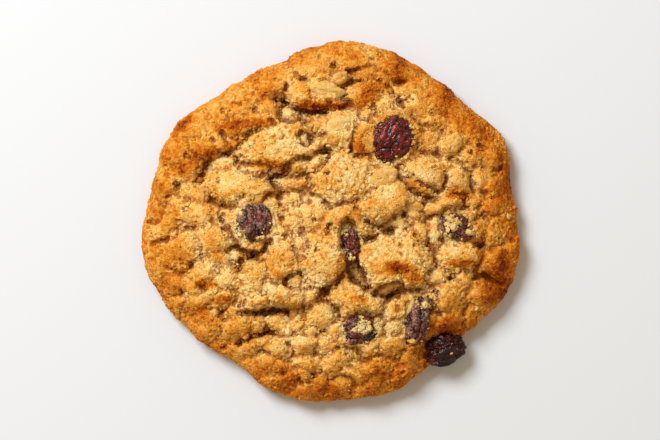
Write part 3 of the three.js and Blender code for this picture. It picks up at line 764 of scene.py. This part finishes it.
places = read_places(dough)
fine, coarse = standing_out(dough, 4), standing_out(dough, 50)
below = smoothstep(places[:, 2], 2.2, 0.5)
toast = toast_and_shade_at(places[:, 0], places[:, 1]) + 0.16 * np.clip(coarse / 0.6, -1, 1)
toast = toast + (UNDERSIDE_TOAST + 0.3 * noise_at(places[:, 0], places[:, 1], 7.0, 8.8) - toast) * below
keep_attribute(dough, "toast", np.clip(toast, 0, 1))
# pit carries painted shade and light: the material darkens small hollows by it and pales small crests.
keep_attribute(dough, "pit", np.clip(-fine / 0.16, -1, 1) * (1 - below))
_, in_crack, _ = crust(places[:, 0], places[:, 1])
# crack carries painted shade: the material darkens borders, splits and broad dips by it, as if in
# shadow.
crack = np.clip(in_crack / 2.4, 0, 1) ** 1.3 + np.clip(-coarse / 1.6, 0, 0.4)
keep_attribute(dough, "crack", np.clip(crack, 0, 1) * (1 - below))
print("relief in mm: fine %.2f, coarse %.2f" % (fine.std(), coarse.std()))

# %% [markdown]
# ## The crust's material
#
# Baked oat dough is dull and grainy: browned flour and sugar with no gloss of its own but a
# faint butter sheen where the rim set smooth. The toast attribute picks the colour from a ramp
# that runs from butter yellow to dark brown, and noise of three sizes breaks it up. Shade is
# painted in: pits, splits and broad dips are darkened as if in shadow, and small crests are a
# little paler. Pores are the middles of Voronoi cells, bent by noise until they are ragged, and
# painted dark as the shade inside tiny holes. They and the grains also go into the bump, at
# their real sizes, because they are finer than the mesh's faces.

# %% Colours and nodes
def colour(hex_code):
    """An sRGB hex colour as the linear RGBA that shaders expect."""
    parts = [int(hex_code[i : i + 2], 16) / 255 for i in (1, 3, 5)]
    linear = [c / 12.92 if c <= 0.04045 else ((c + 0.055) / 1.055) ** 2.4 for c in parts]
    return (*linear, 1.0)


def add_node(tree, kind, inputs=None, stops=None, **settings):
    """Adds a node, sets its options, then fills its inputs with values or links."""
    node = tree.nodes.new("ShaderNode" + kind)
    for key, value in settings.items():
        setattr(node, key, value)
    for number, (position, hex_code) in enumerate(stops or []):
        elements = node.color_ramp.elements
        element = elements[number] if number < len(elements) else elements.new(position)
        element.position = position
        element.color = colour(hex_code)
    for key, value in (inputs or {}).items():
        if isinstance(value, bpy.types.NodeSocket):
            tree.links.new(value, node.inputs[key])
        else:
            node.inputs[key].default_value = value
    return node


def new_material(name):
    """A material with an empty node tree, and the tree."""
    material = bpy.data.materials.new(name)
    material.use_nodes = True
    material.node_tree.nodes.clear()
    return material, material.node_tree


def per_metre(span):
    """The scale of a texture whose cells are span millimetres apart."""
    return 1 / (span * MM)


FACTOR, MIX_A, MIX_B, MIX_RESULT = 0, 6, 7, 2  # sockets of a Mix node that mixes colours

# %% Baked oat dough
# Baked flour and butter: matte, grainy and porous. The eye gets broad soft shading, dark pores.
MOTTLE_SPAN = 2.4
CRUMB_SPAN = 0.9
PORE_SPAN = 1.9
GRAIN_SPAN = 0.42
BEND_SPAN, BEND = 1.6, 1.4  # the noise that makes the pores ragged, and how far it moves them

baked_dough, tree = new_material("baked_oat_dough")
place = add_node(tree, "TexCoord").outputs["Object"]
toast, pit, crack = [
    add_node(tree, "Attribute", attribute_name=name).outputs["Fac"] for name in ("toast", "pit", "crack")
]
mottle = add_node(
    tree, "TexNoise", {"Vector": place, "Scale": per_metre(MOTTLE_SPAN), "Detail": 3.0, "Roughness": 0.6}
).outputs["Fac"]
crumb = add_node(
    tree, "TexNoise", {"Vector": place, "Scale": per_metre(CRUMB_SPAN), "Detail": 2.0, "Roughness": 0.6}
).outputs["Fac"]
grain = add_node(
    tree, "TexNoise", {"Vector": place, "Scale": per_metre(GRAIN_SPAN), "Detail": 1.0}
).outputs["Fac"]
bend = add_node(tree, "TexNoise", {"Vector": place, "Scale": per_metre(BEND_SPAN)}).outputs["Color"]
bend = add_node(tree, "VectorMath", {0: bend, "Scale": BEND * MM}, operation="SCALE").outputs[0]
bent = add_node(tree, "VectorMath", {0: place, 1: bend}, operation="ADD").outputs[0]
# Pores: the middles of bent Voronoi cells, painted dark as the shade inside tiny holes.
pore_reach = add_node(
    tree, "TexVoronoi", {"Vector": bent, "Scale": per_metre(PORE_SPAN), "Randomness": 1.0}
).outputs["Distance"]
pore_here = add_node(
    tree, "MapRange",
    {"Value": pore_reach, "From Min": 0.08, "From Max": 0.2, "To Min": 1.0, "To Max": 0.0},
).outputs["Result"]
some = add_node(
    tree, "MapRange", {"Value": mottle, "From Min": 0.46, "From Max": 0.56}
).outputs["Result"]
pore = add_node(tree, "Math", {0: pore_here, 1: some}, operation="MULTIPLY").outputs[0]
browning = toast
# The pit term browns small hollows and pales small crests: painted shade and painted light.
for part, weight in ((mottle, 0.5), (crumb, 0.6), (pit, 0.1), (grain, 0.4)):
    browning = add_node(
        tree, "Math", {0: part, 1: weight, 2: browning}, operation="MULTIPLY_ADD"
    ).outputs[0]
browning = add_node(tree, "Math", {0: browning, 1: 0.775}, operation="SUBTRACT").outputs[0]
baked = add_node(
    tree, "ValToRGB", {"Fac": browning},
    stops=[(0.0, "#f0d08c"), (0.20, "#e9ba66"), (0.42, "#db993a"), (0.64, "#c67418"), (0.84, "#9e4a08"),
           (1.0, "#662402")],
).outputs["Color"]
# Painted shade in small hollows.
pit_shade_share = add_node(tree, "MapRange", {"Value": pit, "To Max": 0.6}).outputs["Result"]
# Painted shade in splits, borders and broad dips.
crack_shade_share = add_node(
    tree, "MapRange", {"Value": crack, "From Min": 0.12, "To Max": 0.75}
).outputs["Result"]
# Painted shade inside the pores.
pore_shade_share = add_node(tree, "Math", {0: pore, 1: 0.7}, operation="MULTIPLY").outputs[0]
tinted = baked
# Painted shade: pits, splits, dips and pores are mixed toward dark browns, as their shadow would look.
for share, dark in ((pit_shade_share, "#b45208"), (crack_shade_share, "#742c00"), (pore_shade_share, "#5c2002")):
    tinted = add_node(
        tree, "Mix", {FACTOR: share, MIX_A: tinted, MIX_B: colour(dark)}, data_type="RGBA"
    ).outputs[MIX_RESULT]
relief = add_node(tree, "Math", {0: crumb, 1: 0.9, 2: grain}, operation="MULTIPLY_ADD").outputs[0]
relief = add_node(tree, "Math", {0: pore, 1: -0.8, 2: relief}, operation="MULTIPLY_ADD").outputs[0]
bump = add_node(
    tree, "Bump", {"Height": relief, "Strength": 1.0, "Distance": 0.36 * MM}
).outputs["Normal"]
dull = add_node(
    tree, "MapRange", {"Value": toast, "From Min": 0.3, "From Max": 0.9, "To Min": 0.85, "To Max": 0.6}
).outputs["Result"]
surface = add_node(
    tree, "BsdfPrincipled",
    {"Base Color": tinted, "Roughness": dull, "Normal": bump, "Specular IOR Level": 0.06,
     "Subsurface Weight": 0.4, "Subsurface Radius": (1.0, 0.42, 0.12), "Subsurface Scale": 0.8 * MM},
)
add_node(tree, "OutputMaterial", {"Surface": surface.outputs["BSDF"]})
dough.data.materials.clear()
dough.data.materials.append(baked_dough)
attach(dough, "root")
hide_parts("dough")
print("material", baked_dough.name, "with", len(tree.nodes), "nodes")

# %% [markdown]
# ## The raisins
#
# A raisin is a grape that has shrunk inside its skin, so the skin is folded along its length,
# in large folds that carry smaller ones. The folds go on while the raisin is still a short,
# squeezed ball, with Displace modifiers. Hard noise at a negative strength leaves sharp ridges
# round soft hollows, as shrunken skin has. Stretching the ball to its length afterwards draws
# the folds out along it.

# %% Wrinkled raisins
SKIN_FOLDS = [  # kind of noise, span of the folds, and how deep they are
    ("SOFT_NOISE", 5.0, 2.6),
    ("HARD_NOISE", 2.8, -2.4),
    ("HARD_NOISE", 1.4, -1.2),
    ("HARD_NOISE", 0.7, -0.45),
]
SQUEEZE = 0.5  # the ball's length as a share of its width while it is folded
fold_textures = []
for kind, span, depth in SKIN_FOLDS:
    texture = bpy.data.textures.new("skin_folds", "CLOUDS")
    texture.noise_type = kind
    texture.noise_scale = span * MM
    texture.noise_depth = 0
    texture.noise_basis = "IMPROVED_PERLIN"
    fold_textures.append((texture, depth))


def wrinkled_raisin(name, number, long, wide, thick, turn, lean):
    """A ball, folded, stretched, turned and set in its place."""
    deselect_all()
    away = Vector((0, 30 * number, 0)) * MM
    bpy.ops.mesh.primitive_ico_sphere_add(subdivisions=6, radius=wide / 2 * MM, location=away)
    raisin = new_piece("wrinkled_" + name)
    bpy.ops.transform.resize(value=(SQUEEZE, 1, 1))
    bpy.ops.object.transform_apply(location=True, rotation=True, scale=True)
    for texture, depth in fold_textures:
        apply_modifier(
            raisin, "DISPLACE", texture=texture, texture_coords="LOCAL", direction="NORMAL",
            strength=depth * MM, mid_level=0.5,
        )
    places = read_places(raisin)
    low, high = places.min(0), places.max(0)
    write_places(raisin, (places - (low + high) / 2) * (long, wide, thick) / (high - low))
    raisin.data.transform(
        Matrix.Translation(raisin_middles[name] * MM)
        @ Matrix.Rotation(math.radians(turn), 4, "Z")
        @ Matrix.Rotation(math.radians(lean), 4, "Y")
    )
    bpy.ops.object.shade_smooth()
    return raisin


# %% [markdown]
# ## The raisins' skin
#
# The skin is dark and glossy where it was squeezed clean. The folds are painted almost black,
# as shade, and the skin is ruby in blotches, partly its own red and partly painted light that
# stands for light passing through thin skin. Elsewhere it is dulled to a purple grey by sugar
# bloom and flour. The bloom attribute says where.

# %% Raisin skin
# Dried grape skin: a thin, tough, waxy film. The eye gets sharp small glints and dark folds.
raisin_skin, tree = new_material("raisin_skin")
place = add_node(tree, "TexCoord").outputs["Object"]
flush, bloom, pit = [
    add_node(tree, "Attribute", attribute_name=name).outputs["Fac"] for name in ("flush", "bloom", "pit")
]
blotch = add_node(
    tree, "TexNoise", {"Vector": place, "Scale": per_metre(1.5), "Detail": 3.0, "Roughness": 0.7}
).outputs["Fac"]
dust = add_node(
    tree, "TexNoise", {"Vector": place, "Scale": per_metre(0.45), "Detail": 2.0, "Roughness": 0.7}
).outputs["Fac"]
redness = add_node(tree, "Math", {0: blotch, 1: 1.3, 2: flush}, operation="MULTIPLY_ADD").outputs[0]
redness = add_node(tree, "Math", {0: redness, 1: 0.4}, operation="SUBTRACT").outputs[0]
# The ramp's red end is partly the skin's own red and partly painted light for light shining through thin
# skin.
skin = add_node(
    tree, "ValToRGB", {"Fac": redness},
    stops=[(0.3, "#120302"), (0.5, "#340c08"), (0.75, "#7c221a"), (1.0, "#c06450")],
).outputs["Color"]
# Painted shade: the folds, where pit is high, are mixed toward near-black.
dark = add_node(
    tree, "Mix", {FACTOR: pit, MIX_A: skin, MIX_B: colour("#0c0101")}, data_type="RGBA"
).outputs[MIX_RESULT]
floury = add_node(tree, "Math", {0: dust, 1: 1.9, 2: bloom}, operation="MULTIPLY_ADD").outputs[0]
floury = add_node(
    tree, "MapRange", {"Value": floury, "From Min": 1.25, "From Max": 1.8, "To Max": 0.8}
).outputs["Result"]
tinted = add_node(
    tree, "Mix", {FACTOR: floury, MIX_A: dark, MIX_B: colour("#b4866e")}, data_type="RGBA"
).outputs[MIX_RESULT]
bump = add_node(
    tree, "Bump", {"Height": dust, "Strength": 0.8, "Distance": 0.2 * MM}
).outputs["Normal"]
gloss = add_node(
    tree, "MapRange", {"Value": floury, "To Min": 0.15, "To Max": 0.85}
).outputs["Result"]
surface = add_node(
    tree, "BsdfPrincipled",
    {"Base Color": tinted, "Roughness": gloss, "Normal": bump, "Specular IOR Level": 0.38},
)
add_node(tree, "OutputMaterial", {"Surface": surface.outputs["BSDF"]})

# %% Make the raisins: how red each is, how floury, and its lean
SKINS = {
    "raisin_far": (0.36, 0.0, 8),
    "raisin_left": (0.28, 0.44, -6),
    "raisin_middle": (0.32, 0.26, 4),
    "raisin_right": (0.32, 0.3, 0),
    "raisin_near": (0.24, 0.4, -9),
    "raisin_sunken": (0.3, 0.3, 0),
    "raisin_edge": (0.2, 0.0, 6),
}
raisins = {}
for number, (name, (long, wide, thick, turn, *_)) in enumerate(RAISINS.items()):
    redness, flouriness, lean = SKINS[name]
    raisin = wrinkled_raisin(name, number, long, wide, thick, turn, lean)
    places = read_places(raisin)
    uneven = noise_at(places[:, 0], places[:, 1], 1.5, 4.1, places[:, 2])
    keep_attribute(raisin, "flush", np.full(len(places), redness))
    keep_attribute(raisin, "bloom", flouriness * (1 + 1.2 * uneven))
    # pit carries painted shade: it darkens the folds toward near-black.
    keep_attribute(raisin, "pit", np.clip(-standing_out(raisin, 8) / 0.09, 0, 1))
    raisin.data.materials.append(raisin_skin)
    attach(raisin, "root")
    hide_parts(name)
    raisins[name] = raisin
    print(name, len(raisin.data.polygons), "triangles")

# %% [markdown]
# ## Rolled oats
#
# Rolled oats are steamed groats pressed flat: ovals seven or eight millimetres long with a crease
# down the middle and a frayed edge. Baking glues them into the crust, so only some lie bare.
# One flake is modelled from a sphere, and each copy is flattened, sized and laid where a table
# says, with some more, half sunk in the crumb, laid at random.

# %% Spots on the finished pieces
def spot_below(piece, x, y):
    """Where a thing let fall at x and y lands on a piece, and the way the face looks there."""
    hit, place, normal, _ = piece.ray_cast(Vector((x * MM, y * MM, 0.05)), Vector((0, 0, -1)))
    return (place / MM, normal) if hit else (Vector((x, y, 0)), Vector((0, 0, 1)))


def face_spots(piece):
    """Centre in mm, normal and area of every face."""
    count = len(piece.data.polygons)
    centres, normals, areas = np.empty(count * 3), np.empty(count * 3), np.empty(count)
    piece.data.polygons.foreach_get("center", centres)
    piece.data.polygons.foreach_get("normal", normals)
    piece.data.polygons.foreach_get("area", areas)
    return centres.reshape(-1, 3) / MM, normals.reshape(-1, 3), areas / MM**2


def lay_copies(name, model, frames, attributes):
    """One mesh that holds a copy of the model for each 4 by 4 frame, in mm."""
    vertices = np.c_[read_places(model), np.ones(len(model.data.vertices))]
    faces = np.array([face.vertices for face in model.data.polygons])
    copies = np.einsum("nij,vj->nvi", frames[:, :3, :], vertices).reshape(-1, 3)
    turned = faces[None] + (np.arange(len(frames)) * len(vertices))[:, None, None]
    mesh = bpy.data.meshes.new(name)
    mesh.from_pydata((copies * MM).tolist(), [], turned.reshape(-1, faces.shape[1]).tolist())
    piece = bpy.data.objects.new(name, mesh)
    bpy.context.scene.collection.objects.link(piece)
    for key, values in attributes.items():
        keep_attribute(piece, key, np.repeat(values, len(vertices)))
    make_active(piece)
    bpy.ops.object.shade_smooth()
    bpy.data.objects.remove(model)
    return piece


# %% One rolled oat
def rolled_oat():
    """A frayed round, 1 mm across until it is sized, creased along its length."""
    deselect_all()
    bpy.ops.mesh.primitive_uv_sphere_add(segments=24, ring_count=9, radius=0.5 * MM)
    flake = new_piece("rolled_oat")
    apply_modifier(flake, "TRIANGULATE")
    places = read_places(flake)
    x, y, z = places.T * 2
    reach = np.hypot(x, y)
    frayed = 1 + 0.22 * noise_at(x, y, 0.55, 2.2) * smoothstep(reach, 0.4, 1)
    crease = 0.5 * np.exp(-((y / 0.16) ** 2)) * (1 - x * x)
    places = np.c_[x * frayed, y * frayed, z - crease - 0.5 * reach**2] / 2
    write_places(flake, places)
    return flake


OATS = [  # middle x and y, long, wide, turn, lean along and across, sink, how toasted
    (2.2, 20.8, 6.0, 4.6, 20, 4, 10, 0.6, 0.05),
    (8.2, 17.8, 6.0, 5.4, 70, 0, -6, 0.45, 0.34),
    (-0.6, 28.6, 7.6, 3.8, -12, 4, 16, 0.45, 0.1),
    (2.3, 31.6, 3.6, 2.8, 30, 0, 10, 0.2, 0.2),
    (27.4, 17.2, 4.6, 3.6, 60, -8, 0, 0.35, 0.2),
    (12.0, 9.4, 6.0, 4.4, 20, 0, 0, 0.45, 0.16),
    (17.4, 3.4, 6.4, 4.2, -24, 0, 14, 0.45, 0.16),
    (17.2, -19.4, 5.6, 3.2, 62, 0, 0, 0.4, 0.05),
    (-31.4, 0.6, 3.4, 2.4, -30, 0, 0, 0.4, 0.2),
]
OAT_THICKNESS = 1.3
STRAY_OATS = 14  # these lie at random
STRAY_REACH = 31


def oat_frames():
    """A frame for each flake in the table, and for the ones strewn at random."""
    rng = scatter_numbers(35)
    rows = list(OATS)
    for _ in range(STRAY_OATS):
        reach, way = STRAY_REACH * math.sqrt(rng.uniform()), rng.uniform(0, 2 * math.pi)
        long = rng.uniform(3.0, 5.6)
        rows.append((
            reach * math.cos(way), reach * math.sin(way), long, long * rng.uniform(0.5, 0.8),
            rng.uniform(0, 180), *rng.uniform(-16, 16, 2), rng.uniform(0.65, 0.95),
            rng.uniform(0.2, 0.4),
        ))
    frames = []
    for x, y, long, wide, turn, lean_along, lean_across, sink, _ in rows:
        place, normal = spot_below(dough, x, y)
        upright = Vector((0, 0, 1)).lerp(normal, 0.25).normalized()
        frames.append(
            Matrix.Translation(place + Vector((0, 0, 0.25 - sink)))
            @ Vector((0, 0, 1)).rotation_difference(upright).to_matrix().to_4x4()
            @ Matrix.Rotation(math.radians(turn), 4, "Z")
            @ Matrix.Rotation(math.radians(lean_along), 4, "Y")
            @ Matrix.Rotation(math.radians(lean_across), 4, "X")
            @ Matrix.Diagonal((long, wide, OAT_THICKNESS, 1))
        )
    return np.array(frames), np.array([row[-1] for row in rows])


frames, browned = oat_frames()
oat_flakes = lay_copies("oat_flakes", rolled_oat(), frames, {"toast": browned})
places = read_places(oat_flakes)
places[:, 2] += 0.22 * noise_at(places[:, 0], places[:, 1], 2.4, 12.1)
write_places(oat_flakes, places)
print("oat flakes:", len(oat_flakes.data.polygons), "triangles")

# %% Toasted oat bran
# Pressed, steamed grain: paler and smoother than the dough, a little waxy, with fine fibres.
toasted_oat, tree = new_material("toasted_oat")
place = add_node(tree, "TexCoord").outputs["Object"]
toast = add_node(tree, "Attribute", attribute_name="toast").outputs["Fac"]
cloudy = add_node(
    tree, "TexNoise", {"Vector": place, "Scale": per_metre(1.6), "Detail": 3.0, "Roughness": 0.6}
).outputs["Fac"]
fibre = add_node(
    tree, "TexNoise", {"Vector": place, "Scale": per_metre(0.6), "Detail": 3.0, "Roughness": 0.7}
).outputs["Fac"]
browning = toast
for part, weight in ((cloudy, 0.8), (fibre, 0.7)):
    browning = add_node(
        tree, "Math", {0: part, 1: weight, 2: browning}, operation="MULTIPLY_ADD"
    ).outputs[0]
browning = add_node(tree, "Math", {0: browning, 1: 0.4}, operation="SUBTRACT").outputs[0]
grain_colour = add_node(
    tree, "ValToRGB", {"Fac": browning},
    stops=[(0.2, "#eed08c"), (0.45, "#e6b966"), (0.7, "#d6963c"), (1.0, "#aa601c")],
).outputs["Color"]
bump = add_node(tree, "Bump", {"Height": fibre, "Strength": 1.0, "Distance": 0.5 * MM}).outputs["Normal"]
surface = add_node(
    tree, "BsdfPrincipled",
    {"Base Color": grain_colour, "Roughness": 0.6, "Normal": bump, "Specular IOR Level": 0.15,
     "Subsurface Weight": 0.15, "Subsurface Radius": (1.0, 0.6, 0.3), "Subsurface Scale": 0.8 * MM},
)
add_node(tree, "OutputMaterial", {"Surface": surface.outputs["BSDF"]})
oat_flakes.data.materials.append(toasted_oat)
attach(oat_flakes, "root")

# %% [markdown]
# ## Crumbs
#
# Where the crust tore, it shed crumbs, and they lie thickest in the splits and on the raisins
# that are half buried. One crumb is modelled in a few dozen faces and copied many hundred
# times, each copy turned and sized at random, into a single mesh. The grains are the same
# again at a fraction of the size, in fewer faces still. Both have the dough's material, and
# each copy has its own toast and crack, so they take the colour of the place they lie in,
# together with the painted shade of a split they lie in.

# %% One crumb
MOST_CRUMB_FACES = 48


def rough_crumb(faces_level, seed):
    """A ball whose vertices are pushed in and out, with no more faces than it needs."""
    deselect_all()
    bpy.ops.mesh.primitive_ico_sphere_add(subdivisions=faces_level, radius=0.5 * MM)
    crumb = new_piece("rough_crumb")
    places = read_places(crumb)
    places *= scatter_numbers(seed).uniform(0.5, 1.3, (len(places), 1))
    write_places(crumb, places)
    if len(crumb.data.polygons) > MOST_CRUMB_FACES:
        apply_modifier(crumb, "DECIMATE", ratio=MOST_CRUMB_FACES / len(crumb.data.polygons))
    return crumb


def random_turns(rng, count):
    """Rotation matrices evenly spread over all directions."""
    q = rng.normal(size=(count, 4))
    w, x, y, z = (q / np.linalg.norm(q, axis=1, keepdims=True)).T
    return np.stack([
        np.stack([1 - 2 * (y * y + z * z), 2 * (x * y - w * z), 2 * (x * z + w * y)], 1),
        np.stack([2 * (x * y + w * z), 1 - 2 * (x * x + z * z), 2 * (y * z - w * x)], 1),
        np.stack([2 * (x * z - w * y), 2 * (y * z + w * x), 1 - 2 * (x * x + y * y)], 1),
    ], 1)


def strew(name, model, spots, chances, count, sizes, seed, sink, cracks=None, paler=0.04, darkening=0.0):
    """Copies of a crumb on faces drawn by chance, each sunk by a share of its size."""
    rng = scatter_numbers(seed)
    centres, normals, _ = spots
    drawn = rng.choice(len(centres), count, p=chances / chances.sum())
    size = sizes[0] * (sizes[1] / sizes[0]) ** (rng.uniform(size=count) ** 2.2)
    stretch = size[:, None] * rng.uniform(0.45, 1.15, (count, 3))
    frames = np.zeros((count, 4, 4))
    frames[:, :3, :3] = random_turns(rng, count) * stretch[:, None, :]
    frames[:, :3, 3] = centres[drawn] + normals[drawn] * (size * (0.5 - sink))[:, None]
    frames[:, 3, 3] = 1
    x, y = frames[:, 0, 3], frames[:, 1, 3]
    toast = toast_and_shade_at(x, y) - paler + rng.uniform(-0.14, 0.14, count)
    # Painted shade: a crumb in a split takes most of the split's crack value and is darkened like it.
    # The value passed for darkening adds to every copy's pit and crack values and darkens it as well.
    crack = darkening + rng.uniform(0, 0.1, count) + (0 if cracks is None else 0.7 * cracks[drawn])
    return lay_copies(name, model, frames, {"toast": np.clip(toast, 0, 1), "pit": crack, "crack": crack})


# %% Strew the crust
spots = face_spots(dough)
centres, normals, areas = spots
crust_share = np.hypot(centres[:, 0], centres[:, 1]) / outline_radius(centres[:, 0], centres[:, 1])
crack_at = np.empty(len(dough.data.vertices))
dough.data.attributes["crack"].data.foreach_get("value", crack_at)
corners = np.empty(len(dough.data.polygons) * 3, np.int64)
dough.data.polygons.foreach_get("vertices", corners)
crack_at = crack_at[corners.reshape(-1, 3)].mean(1)
topside = areas * (centres[:, 2] > 3.0) * smoothstep(normals[:, 2], 0.0, 0.5)
inward = 1.15 - smoothstep(crust_share, 0.70, 0.92)
patchy = np.clip(0.7 + 1.4 * noise_at(centres[:, 0], centres[:, 1], 5.0, 3.3), 0.1, 2.0)
crumb_chance = topside * inward * patchy * (0.35 + 2.6 * crack_at)
grain_chance = topside * (inward + 0.1) * (0.5 + 1.0 * crack_at)
crumbs = strew(
    "crumbs", rough_crumb(2, 31), spots, crumb_chance, 1500, (0.6, 1.8), 41, 0.44, crack_at
)
crumb_grains = strew(
    "crumb_grains", rough_crumb(1, 32), spots, grain_chance, 6000, (0.25, 0.7), 42, 0.36, crack_at
)
for piece in (crumbs, crumb_grains):
    piece.data.materials.append(baked_dough)
    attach(piece, "root")
    print(piece.name, len(piece.data.polygons), "triangles")

# %% Strew the raisins: the same crumbs, clumped together, joined to the meshes on the crust
CRUMBED = {  # how many crumbs and grains stick to each raisin
    "raisin_far": (3, 8),
    "raisin_left": (22, 70),
    "raisin_middle": (30, 60),
    "raisin_right": (80, 110),
    "raisin_near": (8, 30),
    "raisin_sunken": (100, 120),
    "raisin_edge": (1, 3),
}
for number, (name, (crumb_count, grain_count)) in enumerate(CRUMBED.items()):
    spots = face_spots(raisins[name])
    centres, normals, areas = spots
    clumped = np.clip(3.0 * noise_at(centres[:, 0], centres[:, 1], 2.8, 6.6 + number) - 0.1, 0.02, 2)
    outer = 1.3 - np.clip(normals[:, 2], 0, 1)
    chance = areas * (normals[:, 2] > 0.1) * (centres[:, 2] > raisin_middles[name].z) * clumped * outer
    stuck = [
        strew(
            "stuck_crumbs", rough_crumb(2, 33), spots, chance, crumb_count, (0.8, 2.2),
            50 + number, 0.4, paler=0.12, darkening=0.08,
        ),
        strew(
            "stuck_grains", rough_crumb(1, 34), spots, chance, grain_count, (0.3, 0.8),
            70 + number, 0.34, paler=0.12, darkening=0.1,
        ),
    ]
    for piece, whole in zip(stuck, (crumbs, crumb_grains)):
        piece.data.materials.append(baked_dough)
        make_active(whole)
        piece.select_set(True)
        bpy.ops.object.join()
for whole in (crumbs, crumb_grains):
    print(whole.name, "with those on the raisins", len(whole.data.polygons), "triangles")

# %% [markdown]
# ## The floor, the light and the camera
#
# The cookie lies on a plain pale floor. One large soft light stands high on the far side, a
# little to the left, so each clod is bright on its far slope and shaded on its near one. A warm
# white world fills the shadows. The camera looks straight down.

# %% The floor
FLOOR_SIDE = 3.0

deselect_all()
bpy.ops.mesh.primitive_plane_add(size=FLOOR_SIDE, location=(0, 0, 0))
floor = new_piece("floor")
# Honed pale stone: matte and even, so that nothing on it draws the eye.
floor_stone, tree = new_material("honed_pale_stone")
surface = add_node(tree, "BsdfPrincipled", {"Base Color": colour("#d9dee1"), "Roughness": 0.6})
add_node(tree, "OutputMaterial", {"Surface": surface.outputs["BSDF"]})
floor.data.materials.append(floor_stone)

# %% The light
KEY_PLACE = Vector((-0.36, 0.42, 0.66))
KEY_WATTS = 8.3
KEY_SIDE = 0.34
FILL = 0.50

world = bpy.context.scene.world or bpy.data.worlds.new("studio")
bpy.context.scene.world = world
world.use_nodes = True
world.node_tree.nodes["Background"].inputs["Color"].default_value = colour("#ffe8cc")
world.node_tree.nodes["Background"].inputs["Strength"].default_value = FILL
bpy.ops.object.light_add(type="AREA", location=KEY_PLACE)
key_light = bpy.context.object
key_light.name = "key_light"
key_light.data.energy = KEY_WATTS
key_light.data.color = colour("#f4f8ff")[:3]
key_light.data.size = KEY_SIDE
key_light.rotation_euler = (-KEY_PLACE).to_track_quat("-Z", "Y").to_euler()
bpy.context.scene.view_settings.view_transform = "Standard"

# %% The camera
CAMERA_HEIGHT = 0.606
SENSOR_WIDTH = 36.0
VIEW_DISTANCE = 0.6  # from the camera to the plane where the view's width is measured
VIEW_WIDTH = 0.14784

camera = bpy.data.objects.new("camera", bpy.data.cameras.new("camera"))
bpy.context.scene.collection.objects.link(camera)
camera.location = (0, 0, CAMERA_HEIGHT)
camera.data.sensor_width = SENSOR_WIDTH
camera.data.lens = SENSOR_WIDTH * VIEW_DISTANCE / VIEW_WIDTH
bpy.context.scene.camera = camera
